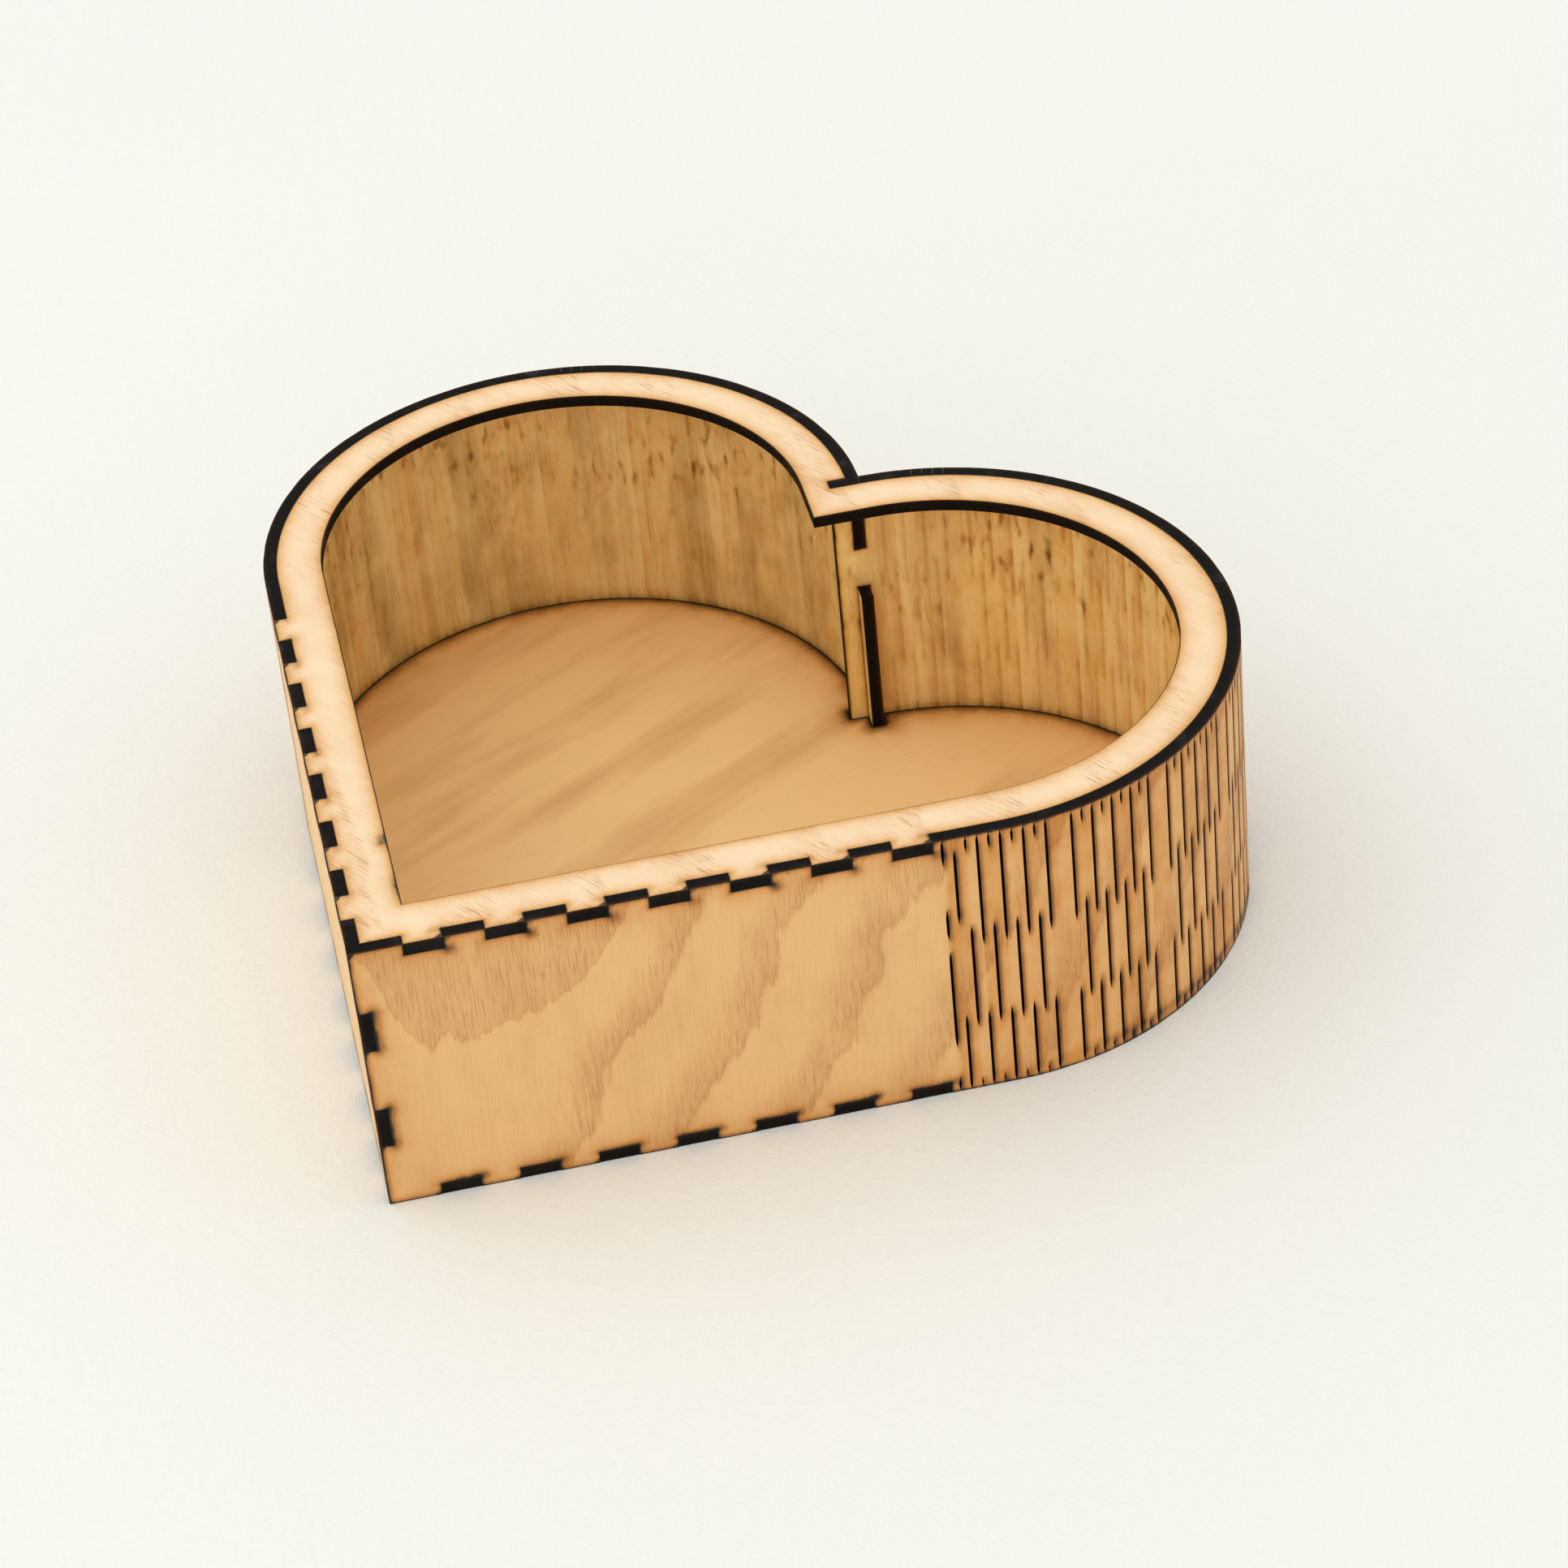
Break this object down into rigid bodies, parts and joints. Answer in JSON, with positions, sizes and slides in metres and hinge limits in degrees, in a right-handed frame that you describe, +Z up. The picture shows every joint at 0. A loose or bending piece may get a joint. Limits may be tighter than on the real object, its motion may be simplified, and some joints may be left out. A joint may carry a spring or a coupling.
{
  "type": "heart-shaped open box",
  "caption": "Open heart-shaped box of laser-cut plywood: two living-hinge walls finger-jointed to a floor plate and a flat rim ring.",
  "frame": {"origin": "middle of the bounding box, on the underside of the floor", "axes": "+Z up through the open top, -Y towards the pointed tip of the heart, +X across the two lobes"},
  "size_m": [0.2458, 0.2248, 0.072],
  "materials": {
    "floor_ply": "bare birch plywood, warm tan, laser-cut dark edges",
    "rim_ply": "bare birch plywood, pale cream, brown heat halo along the cut edges",
    "right_wall_ply": "bare birch plywood with cathedral grain, charred cut edges",
    "left_wall_ply": "bare birch plywood, charred cut edges"
  },
  "bodies": {
    "root": {"floor_plate": "floor_ply", "rim_ring": "rim_ply", "right_wall": "right_wall_ply", "left_wall": "left_wall_ply"}
  },
  "joints": []
}
